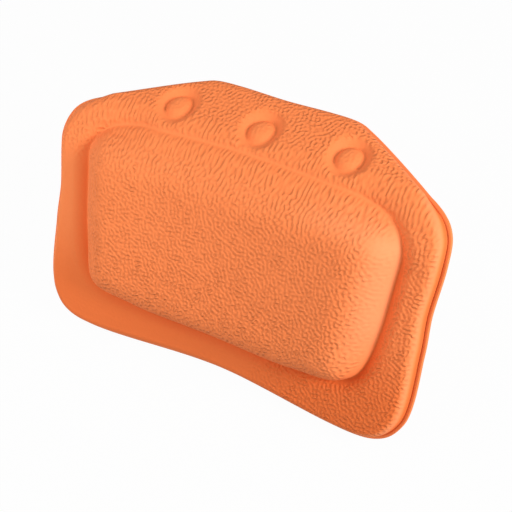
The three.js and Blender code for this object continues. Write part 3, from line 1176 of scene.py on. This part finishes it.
@dataclass(frozen=True)
class FrontVinyl:
    """Orange foamed vinyl with an embossed grain, a painted highlight in a paler colour and painted shade in a
    deeper one.
    """

    colour: str = "#F4864C"
    # Paler colour of the painted highlight.
    pale: str = "#F99A68"
    # Deeper colour: painted shade in the groove, on the lower border, along the weld and in the grain's
    # valleys, and a faint random cloud.
    deep: str = "#DC5E1E"
    # Share of painted shade in the grain's valleys.
    valley_shade_share: float = 0.22
    cloud_share: float = 0.04
    cloud_scale: float = 30.0
    roughness: Ends = (0.62, 0.74)
    gloss: float = 0.15
    pitch: float = 3.6 * MM
    softness: float = 0.45
    pore_height: float = 0.06
    depth: float = 1.15 * MM

    def material(self, group: bpy.types.NodeTree) -> bpy.types.Material:
        """Builds the material on the piece's flat UV map, its grain attribute and its attribute of painted
        highlight and shade.

        Args:
            group: group of the embossed grain.

        Returns:
            The material.
        """
        material, shade, shader = new_material("front_vinyl")
        # The second attribute holds painted highlight above zero and painted shade below zero.
        flat, left, drawn = shade.flat(), shade.painted("grain"), shade.painted("highlight_and_shade")
        values = {"Vector": flat, "Pitch": self.pitch, "Softness": self.softness}
        relief, pores = shade.filled("ShaderNodeGroup", values, node_tree=group).outputs
        # Painted shade: the grain's valleys take the deeper colour.
        valley = shade.math("MULTIPLY", shade.math("SUBTRACT", 1.0, relief), left)
        # Painted shade where the attribute is below zero.
        pressed = shade.math("MULTIPLY", drawn, -1.0, clamp=True)
        cloud = shade.noise(flat, self.cloud_scale)
        share = shade.math("MULTIPLY_ADD", cloud, self.cloud_share, pressed)
        share = shade.math("MULTIPLY_ADD", valley, self.valley_shade_share, share, clamp=True)
        # Painted highlight where the attribute is above zero.
        plain = shade.blend(drawn, srgb(self.colour), srgb(self.pale))
        height = shade.math("MULTIPLY_ADD", pores, self.pore_height, shade.math("MULTIPLY", relief, left))
        colour = shade.blend(share, plain, srgb(self.deep))
        shade.coat(shader, colour, shade.spread(pores, self.roughness), height, self.depth)
        shader.inputs["Specular IOR Level"].default_value = self.gloss
        return material


@dataclass(frozen=True)
class BackVinyl:
    """Plain orange vinyl sheet with a fine matte grain."""

    colour: str = "#F2844C"
    deep: str = "#EE7C44"
    cloud_scale: float = 18.0
    cloud_ends: Ends = (0.3, 0.8)
    fine_scale: float = 1500.0
    roughness: Ends = (0.54, 0.69)
    depth: float = 0.12 * MM

    def material(self) -> bpy.types.Material:
        """Builds the material on the piece's flat UV map.

        Returns:
            The material.
        """
        material, shade, shader = new_material("back_vinyl")
        flat = shade.flat()
        fine = shade.noise(flat, self.fine_scale, 3.0)
        cloud = shade.soft_step(shade.noise(flat, self.cloud_scale, 3.0), *self.cloud_ends)
        colour = shade.blend(cloud, srgb(self.colour), srgb(self.deep))
        shade.coat(shader, colour, shade.spread(fine, self.roughness), fine, self.depth)
        return material


@dataclass(frozen=True)
class Foam:
    """Open-cell foam, pale and matte."""

    name: str
    colour: str
    shade_colour: str = "#CDBF9F"
    cell: float = 0.8 * MM
    cell_ends: Ends = (0.1, 0.7)
    roughness: float = 0.95
    depth: float = 0.3 * MM

    def material(self) -> bpy.types.Material:
        """Builds the material on Object coordinates.

        Returns:
            The material.
        """
        material, shade, shader = new_material(self.name)
        inputs = {"Vector": shade.own(), "Scale": 1 / self.cell}
        cells = shade.filled("ShaderNodeTexVoronoi", inputs).outputs["Distance"]
        share = shade.soft_step(cells, *self.cell_ends)
        colour = shade.blend(share, srgb(self.shade_colour), srgb(self.colour))
        shade.coat(shader, colour, self.roughness, cells, self.depth)
        return material


@dataclass(frozen=True)
class SocketPlastic:
    """White polypropylene with a satin surface."""

    colour: str = "#EDEDE8"
    shade_colour: str = "#E2E2DC"
    fine_scale: float = 1400.0
    fine_ends: Ends = (0.3, 0.7)
    roughness: Ends = (0.36, 0.48)
    depth: float = 0.05 * MM

    def material(self) -> bpy.types.Material:
        """Builds the material on Object coordinates.

        Returns:
            The material.
        """
        material, shade, shader = new_material("socket_plastic")
        fine = shade.noise(shade.own(), self.fine_scale, 3.0)
        share = shade.soft_step(fine, *self.fine_ends)
        colour = shade.blend(share, srgb(self.shade_colour), srgb(self.colour))
        shade.coat(shader, colour, shade.spread(fine, self.roughness), fine, self.depth)
        return material


@dataclass(frozen=True)
class CupVinyl:
    """Clear soft vinyl, glossy, with a faint haze and a faintly uneven surface."""

    colour: str = "#EAF3F2"
    haze_colour: str = "#D5E4E3"
    haze_scale: float = 90.0
    roughness: Ends = (0.1, 0.22)
    clearness: float = 0.8
    refraction: float = 1.5
    uneven_scale: float = 320.0
    depth: float = 0.1 * MM

    def material(self) -> bpy.types.Material:
        """Builds the material on Object coordinates.

        Returns:
            The material.
        """
        material, shade, shader = new_material("cup_vinyl")
        place = shade.own()
        haze, uneven = shade.noise(place, self.haze_scale, 3.0), shade.noise(place, self.uneven_scale)
        colour = shade.blend(haze, srgb(self.colour), srgb(self.haze_colour))
        shade.coat(shader, colour, shade.spread(haze, self.roughness), uneven, self.depth)
        shader.inputs["Transmission Weight"].default_value = self.clearness
        shader.inputs["IOR"].default_value = self.refraction
        return material


def dress(piece: bpy.types.Object, material: bpy.types.Material, body: Body) -> None:
    """Gives a piece its material and the body that it moves with.

    Args:
        piece: finished piece.
        material: its material.
        body: body that the piece rides on.
    """
    piece.data.materials.append(material)
    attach(piece, body.value)
    LOG.info("%s: %d faces, rides on %s", piece.name, len(piece.data.polygons), body.value)


@dataclass(frozen=True)
class FrontSkin:
    """Moulded front of the pillow: lip, border, groove, cushion and the three dimples."""

    plan: SheetPlan
    form: FrontForm
    thickness: float = 1.2 * MM
    lip_under: float = 1.06 * MM
    under_run: float = 1.5 * MM
    bands: tuple[int, int, int, int] = (24, 36, 42, 36)

    def between_rims(self, rim: Array, low: Array) -> list[Array]:
        """Triangles between the front's rim and the underside's, which has half as many points.

        Args:
            rim: points of the front's rim in order.
            low: points of the underside's rim in order.

        Returns:
            Three sets of triangles, one of each for every step of the underside.
        """
        first, middle, last = rim[::2], rim[1::2], np.roll(rim, -2)[::2]
        after = np.roll(low, -1)
        corners = ((first, middle, low), (middle, last, after), (middle, after, low))
        return [np.stack(three, axis=1) for three in corners]

    def build(self) -> bpy.types.Object:
        """Builds the skin: a fine front and, with half its points each way, an underside.

        The underside lies the thickness below the front along its normals, and under the lip level over the
        back sheet.

        Returns:
            The piece.
        """
        grid = NestedGrid(Bands(self.plan, *self.bands))
        coarse = NestedGrid(Bands(self.plan, *(count // 2 for count in self.bands)))
        places = grid.points()
        s, t = places.T
        survey = Survey.at(self.plan, places)
        survey.edge[grid.rim()] = 0
        reach = self.form.reach(s, t)
        front = self.plan.place(s, t, self.form.dimpled(self.form.sheet(survey), reach))
        width = 2 * grid.bands.rings + 1
        inner = front - surface_normals(front, width) * self.thickness
        flat = self.plan.place(s, t, np.full_like(s, self.lip_under))
        under = mix(flat, inner, ramp(survey.edge, self.form.lip_width, self.under_run)[:, None])
        every = np.arange(0, width, 2)
        pick = (every[:, None] * width + every).ravel()
        shell = Shell()
        shell.add(front)
        start = shell.add(under[pick])
        shell.quads += [grid.faces(), coarse.faces()[:, ::-1] + start]
        shell.triangles += self.between_rims(grid.rim(), coarse.rim() + start)
        piece = shell.build("pillow_front")
        forming = Forming(self.form)
        drawn = forming.grain_places(places)
        shell.unwrap(piece, np.concatenate([drawn, drawn[pick]]))
        # The second attribute holds painted highlight above zero and painted shade below zero.
        for name, mask in (("grain", forming.grain(survey, reach)), ("highlight_and_shade", forming.highlight_and_shade(survey))):
            shell.paint(piece, name, np.concatenate([mask, mask[pick]]))
        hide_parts("front_skin")
        return piece


@dataclass(frozen=True)
class BackSheet:
    """Plain back sheet with a weld line round its edge and a weld ring round each socket."""

    plan: SheetPlan
    thickness: float = 1 * MM
    bore: float = 4.8 * MM
    weld_inset: float = 3.4 * MM
    weld_depth: float = 0.35 * MM
    weld_width: float = 0.8 * MM
    ring_radius: float = 13.5 * MM
    rim_share: float = 0.35
    rim_run: float = 0.6 * MM
    bands: tuple[int, int, int, int] = (16, 20, 34, 20)

    def build(self) -> bpy.types.Object:
        """Builds the sheet: two faces on one grid, with holes for the cups' necks and walls at every edge.

        Returns:
            The piece.
        """
        places, quads = NestedGrid(Bands(self.plan, *self.bands)).drilled(self.bore)
        s, t = places.T
        edge = self.plan.outline.gaps(places)[:, 0]
        reach = np.array([np.linalg.norm(places - centre, axis=1) for centre in self.plan.cup_places])
        ring = np.min(abs(reach - self.ring_radius), axis=0)
        weld = np.maximum(bell(edge - self.weld_inset, self.weld_width), bell(ring, self.weld_width))
        rim = self.rim_share * (1 - quarter_round(edge / self.rim_run)) * self.thickness
        upper = self.plan.place(s, t, self.thickness - rim)
        shell = Shell.slab(upper, self.plan.place(s, t, self.weld_depth * weld + rim), quads)
        piece = shell.build("pillow_back")
        shell.unwrap(piece, np.concatenate([places, places]))
        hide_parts("back_skin")
        return piece


@dataclass(frozen=True)
class FoamCore:
    """Foam under the skin: the pad over the whole sheet and the cushion's own block on it."""

    plan: SheetPlan
    form: FrontForm
    inset: float = 1.9 * MM
    floor: float = 1.4 * MM
    seat: float = 6.5 * MM
    gap: float = 0.4 * MM
    socket_room: float = 12.4 * MM
    pad_margin: float = 5 * MM
    pad_bands: tuple[int, int, int, int] = (8, 12, 18, 8)
    cushion_rings: int = 40

    def seat_height(self, s: Array, t: Array) -> Array:
        """Top of the pad under the cushion: from the groove's floor to the seat, as the square of the radius.

        Args:
            s: distance across.
            t: distance up.

        Returns:
            Height at each place.
        """
        share = np.hypot(s, t) / self.plan.foot.radius(np.arctan2(s, t))
        edge = self.plan.border_height - self.form.groove_depth - 2 * self.inset
        return mix(self.seat, edge, np.clip(share, 0, 1) ** 2)

    def pad(self) -> bpy.types.Object:
        """Builds the pad, with a hole for each socket.

        Returns:
            The piece.
        """
        grid = NestedGrid(Bands(self.plan, *self.pad_bands, margin=self.pad_margin))
        places, quads = grid.drilled(self.socket_room)
        s, t = places.T
        survey = Survey.at(self.plan, places)
        sheet = self.form.sheet(survey.outside(), self.inset)
        top = self.form.dimpled(sheet, self.form.reach(s, t) - self.inset) - self.inset
        top = np.where(survey.foot > -2 * self.inset, self.seat_height(s, t), top)
        upper = self.plan.place(s, t, np.maximum(top, self.floor + self.gap))
        lower = self.plan.place(s, t, np.full_like(s, self.floor))
        piece = Shell.slab(upper, lower, quads).build("foam_pad")
        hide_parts("base_pad")
        return piece

    def cushion(self) -> bpy.types.Object:
        """Builds the cushion's block, from its seat on the pad up to the underside of the skin.

        Returns:
            The piece.
        """
        grid = NestedGrid(Bands(self.plan, 0, 0, 0, self.cushion_rings))
        angle = np.arctan2(*grid.points().T)
        share = grid.indices()[2] / self.cushion_rings
        radius = (self.plan.foot.radius(angle) - 2 * self.inset / self.plan.foot.lean(angle)) * share
        s, t = radius * np.sin(angle), radius * np.cos(angle)
        top = self.form.sheet(Survey.at(self.plan, np.stack([s, t], axis=1)), self.inset)
        low = self.seat_height(s, t) + self.gap
        upper = self.plan.place(s, t, np.maximum(top, low + self.gap))
        piece = Shell.slab(upper, self.plan.place(s, t, low), grid.faces()).build("foam_cushion")
        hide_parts("cushion_foam")
        return piece


@dataclass(frozen=True)
class SuctionCup:
    """Turned suction cup: a thin bell, a neck and a rounded head."""

    name: str
    across: float
    radius: float = 20 * MM
    rim_width: float = 2 * MM
    rim_thickness: float = 0.8 * MM
    shoulder: float = 10.7 * MM
    shoulder_radius: float = 6.8 * MM
    wall: float = 3.4 * MM
    hollow_shares: tuple[tuple[float, float], ...] = ((0, 1), (0.42, 0.8), (0.74, 0.36), (1, 0))
    bell_shares: tuple[tuple[float, float], ...] = ((0.9, 0.24), (0.72, 0.56), (0.52, 0.83))
    neck_radius: float = 4 * MM
    head_radius: float = 6 * MM
    head_foot: float = 14.6 * MM
    head_top: float = 19 * MM
    rounding: float = 0.9 * MM
    longest_cut: float = 0.45
    arc_steps: int = 6
    sides: int = 128

    def corners(self) -> Array:
        """Lays out the profile, from the axis in the hollow to the axis on the head.

        Returns:
            Radius and height of each corner, one row each.
        """
        hollow, inner = self.shoulder - self.wall, self.radius - self.rim_width
        return np.array([
            *((out * inner, up * hollow) for out, up in self.hollow_shares),
            (self.radius, 0),
            (self.radius, self.rim_thickness),
            *((out * self.radius, up * self.shoulder) for out, up in self.bell_shares),
            (self.shoulder_radius, self.shoulder),
            (self.neck_radius, self.shoulder),
            (self.neck_radius, self.head_foot),
            (self.head_radius, self.head_foot),
            (self.head_radius, self.head_top - 2 * self.rounding),
            (self.head_radius - 2 * self.rounding, self.head_top),
            (0, self.head_top),
        ])

    def profile(self) -> Array:
        """Rounds every corner off, as a parabola between points a little way along its two sides.

        Returns:
            Radius and height of each point of the profile, one row each.
        """
        corners = self.corners()
        before, middle, after = corners[:-2], corners[1:-1], corners[2:]
        entry, leave = (
            np.minimum(self.rounding / np.linalg.norm(side, axis=1), self.longest_cut)[:, None] * side
            for side in (before - middle, after - middle)
        )
        share = np.linspace(0, 1, self.arc_steps)[:, None, None]
        arc = (
            (1 - share) ** 2 * (middle + entry)
            + 2 * share * (1 - share) * middle
            + share**2 * (middle + leave)
        )
        return np.concatenate([corners[:1], arc.transpose(1, 0, 2).reshape(-1, 2), corners[-1:]])

    def build(self) -> bpy.types.Object:
        """Turns the profile round the cup's axis, and closes it with one point at each end.

        Returns:
            The piece.
        """
        profile = self.profile()
        turn = 2 * math.pi * np.arange(self.sides) / self.sides
        radius, height = (part[1:-1, None] for part in profile.T)
        rings = np.stack(
            [self.across + radius * np.cos(turn), radius * np.sin(turn), height + 0 * turn], axis=-1
        )
        shell = Shell()
        shell.add(rings.reshape(-1, 3))
        hub, tip = (
            np.full(self.sides, shell.add(np.array([[self.across, 0, end]]))) for end in profile[[0, -1], 1]
        )
        at = np.arange(len(rings))[:, None] * self.sides + np.arange(self.sides)
        beside = np.roll(at, -1, axis=1)
        shell.quads.append(np.stack([at[:-1], beside[:-1], beside[1:], at[1:]], axis=-1).reshape(-1, 4))
        shell.triangles.append(np.stack([hub, beside[0], at[0]], axis=1))
        shell.triangles.append(np.stack([tip, at[-1], beside[-1]], axis=1))
        piece = shell.build(f"cup_{self.name}")
        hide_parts(f"suction_cup_{self.name}")
        return piece


@dataclass(frozen=True)
class Viewpoint:
    """Camera at the photograph's viewing angle, turned, tilted and rolled about the frame's axes."""

    turn: float = math.radians(-38.51)
    tilt: float = math.radians(51.62)
    roll: float = math.radians(12.05)
    aside: float = 6.273 * MM
    rise: float = 76.939 * MM
    distance: float = 0.774
    focal_px: float = 1051.0
    frame_px: float = 512.0
    sensor: float = 36.0
    clip: Ends = (0.01, 20)

    def axes(self) -> Matrix:
        """Turns the frame's axes to the camera's: right, up and towards the viewer.

        Returns:
            The rotation.
        """
        upright = Matrix(((1, 0, 0), (0, 0, 1), (0, -1, 0)))
        return (
            Matrix.Rotation(self.roll, 3, "Z")
            @ Matrix.Rotation(self.tilt, 3, "X")
            @ Matrix.Rotation(self.turn, 3, "Y")
            @ upright
        )

    def build(self) -> None:
        """Makes the scene's camera."""
        data = bpy.data.cameras.new("camera")
        data.sensor_width = self.sensor
        data.lens = self.focal_px / self.frame_px * self.sensor
        data.clip_start, data.clip_end = self.clip
        camera = add_object("camera", data)
        back = self.axes().transposed()
        shift = Vector((self.aside, self.rise, -self.distance))
        camera.matrix_world = Matrix.Translation(-(back @ shift)) @ back.to_4x4()
        bpy.context.scene.camera = camera


@dataclass(frozen=True)
class Lamp:
    """Square lamp that faces the pillow and that no camera sees.

    Toward is its direction on the camera's axes at rest: right, up and towards the viewer. Distance counts from
    the middle of the pillow, size is the side of the square, and power is in watts.
    """

    name: str
    toward: tuple[float, float, float]
    distance: float
    size: float
    power: float

    def build(self, view: Viewpoint, middle: tuple[float, float, float]) -> None:
        """Makes the lamp.

        Args:
            view: the camera's viewpoint.
            middle: middle of the pillow.
        """
        data = bpy.data.lights.new(self.name, "AREA")
        data.energy, data.size = self.power, self.size
        lamp = add_object(self.name, data)
        lamp.visible_camera = False
        aim = view.axes().transposed() @ Vector(self.toward).normalized()
        lamp.location = aim * self.distance + Vector(middle)
        lamp.rotation_mode = "QUATERNION"
        lamp.rotation_quaternion = aim.to_track_quat("Z", "Y")


@dataclass(frozen=True)
class Studio:
    """Pale floor, white surround and soft lamps."""

    view: Viewpoint
    middle: tuple[float, float, float] = (0, -40 * MM, -50 * MM)
    floor_drop: float = 0.3 * MM
    floor_size: float = 8.0
    floor_grey: float = 0.5
    floor_roughness: float = 0.9
    floor_white: float = 0.97
    ambient: float = 0.48
    lamps: tuple[Lamp, ...] = (
        Lamp("key", (0.68, 0.02, 0.73), 1.3, 0.45, 15.3),
        Lamp("near", (-0.5, 0.5, 0.7), 0.45, 0.24, 0.12),
        Lamp("left", (-0.9, 0.05, 0.5), 0.6, 0.3, 1.3),
    )

    def surround(self) -> None:
        """Soft light all round, which shows white to the camera, in gloss and through clear vinyl."""
        world = bpy.data.worlds.new("surround")
        bpy.context.scene.world = world
        world.use_nodes = True
        shade = Shade(world.node_tree)
        light = world.node_tree.nodes["Background"]
        light.inputs["Color"].default_value = (1, 1, 1, 1)
        seen = shade.any_ray("Is Camera Ray", "Is Transmission Ray", "Is Glossy Ray")
        shade.feed(light.inputs["Strength"], shade.spread(seen, (self.ambient, 1)))

    def floor(self) -> None:
        """Pale floor that shows nearly white to the camera and keeps the pillow's shadow."""
        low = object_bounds()[0].z - self.floor_drop
        half = self.floor_size / 2
        mesh = bpy.data.meshes.new("floor")
        corners = [(-half, -half, low), (half, -half, low), (half, half, low), (-half, half, low)]
        mesh.from_pydata(corners, [], [(0, 1, 2, 3)])
        floor = add_object("floor", mesh)
        material, shade, shader = new_material("floor")
        shader.inputs["Base Color"].default_value = (self.floor_grey, self.floor_grey, self.floor_grey, 1)
        shader.inputs["Roughness"].default_value = self.floor_roughness
        glow = shade.filled("ShaderNodeEmission", {"Color": (1, 1, 1, 1)})
        seen = shade.any_ray("Is Camera Ray", "Is Transmission Ray")
        share = shade.math("MULTIPLY", seen, self.floor_white)
        both = shade.filled("ShaderNodeMixShader", {0: share, 1: shader.outputs[0], 2: glow.outputs[0]})
        shade.feed(material.node_tree.nodes["Material Output"].inputs["Surface"], both.outputs[0])
        mesh.materials.append(material)
        floor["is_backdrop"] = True

    def build(self) -> None:
        """Sets up the whole studio."""
        bpy.context.scene.view_settings.view_transform = "Standard"
        self.surround()
        self.floor()
        for lamp in self.lamps:
            lamp.build(self.view, self.middle)


def main() -> None:
    """Builds the camera, every piece of the pillow and the studio, and notes the sizes."""
    logging.basicConfig(level=logging.INFO, format="%(name)s: %(message)s")
    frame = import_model()
    view = Viewpoint()
    view.build()
    plan = SheetPlan()
    form = FrontForm(plan)
    front = FrontSkin(plan, form).build()
    dress(front, FrontVinyl().material(Grain().group()), Body.PILLOW)
    back = BackSheet(plan).build()
    dress(back, BackVinyl().material(), Body.PILLOW)
    core = FoamCore(plan, form)
    pad, cushion = core.pad(), core.cushion()
    dress(pad, Foam("pad_foam", "#EFE3CF").material(), Body.PILLOW)
    dress(cushion, Foam("cushion_foam", "#F5EDDC").material(), Body.PILLOW)
    clear = CupVinyl().material()
    plastic = SocketPlastic().material()
    bodies = (Body.CUP_LEFT, Body.CUP_CENTRE, Body.CUP_RIGHT)
    for side, across, body in zip(("left", "centre", "right"), plan.cups, bodies):
        dress(SuctionCup(side, across).build(), clear, body)
        socket = frame["nodes"][f"socket_{side}"]
        socket.data.materials.clear()
        socket.data.materials.append(plastic)
        LOG.info("%s: keeps its own shape, in satin plastic", socket.name)
    Studio(view).build()


if __name__ == "__main__":
    main()
